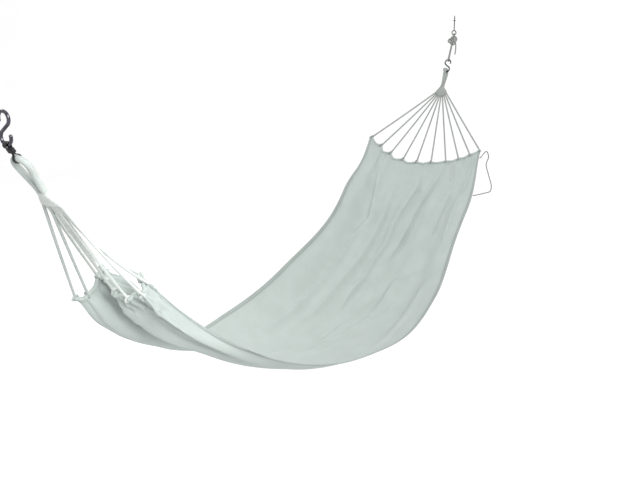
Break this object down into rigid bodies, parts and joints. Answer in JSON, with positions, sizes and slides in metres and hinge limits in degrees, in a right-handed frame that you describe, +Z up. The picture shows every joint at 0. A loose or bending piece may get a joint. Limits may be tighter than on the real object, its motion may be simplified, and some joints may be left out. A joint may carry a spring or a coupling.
{
  "type": "hammock",
  "caption": "Canvas hammock with cords gathered to an eye at each end, on S-hooks, hanging bunched at one end and spread at the other.",
  "frame": {"origin": "the collar of the far anchor screw, where the screw enters the beam that holds the hammock up", "axes": "+X from the near end to the far end, +Y across the bed, +Z up"},
  "size_m": [2.2897, 0.6115, 1.0496],
  "materials": {
    "canvas": "matt plain-woven cotton canvas, pale grey-green",
    "cotton": "matt twisted cotton rope, off-white",
    "chrome": "polished",
    "webbing": "matt black webbing",
    "tie_cord": "thin dark grey cord",
    "dark_steel": "dark zinc-plated steel"
  },
  "bodies": {
    "anchor": {"anchor_screw_eye": "dark_steel"},
    "hammock": {"bed_canvas": "canvas", "right_side_hem": "canvas", "left_side_hem": "canvas", "near_end_hem": "canvas", "far_end_hem": "canvas", "tie_cord": "tie_cord", "near_cord_1": "cotton", "near_cord_2": "cotton", "near_cord_3": "cotton", "near_cord_4": "cotton", "near_cord_5": "cotton", "near_cord_6": "cotton", "near_cord_7": "cotton", "near_cord_8": "cotton", "near_cord_9": "cotton", "near_cord_10": "cotton", "far_cord_1": "cotton", "far_cord_2": "cotton", "far_cord_3": "cotton", "far_cord_4": "cotton", "far_cord_5": "cotton", "far_cord_6": "cotton", "far_cord_7": "cotton", "far_cord_8": "cotton", "far_cord_9": "cotton", "far_cord_10": "cotton", "near_clew": "cotton", "far_clew": "cotton", "near_eye": "cotton", "far_eye": "cotton", "near_s_hook": "chrome", "far_s_hook": "chrome", "near_strap_loop": "webbing", "hang_rope": "cotton", "rope_tail": "cotton"}
  },
  "joints": [
    {"name": "swing", "type": "hinge", "parent": "anchor", "child": "hammock", "pos_m": [0.00225, 0, -0.05095], "axis": [0.999, 0, 0.044], "range_deg": [-30, 30]}
  ]
}
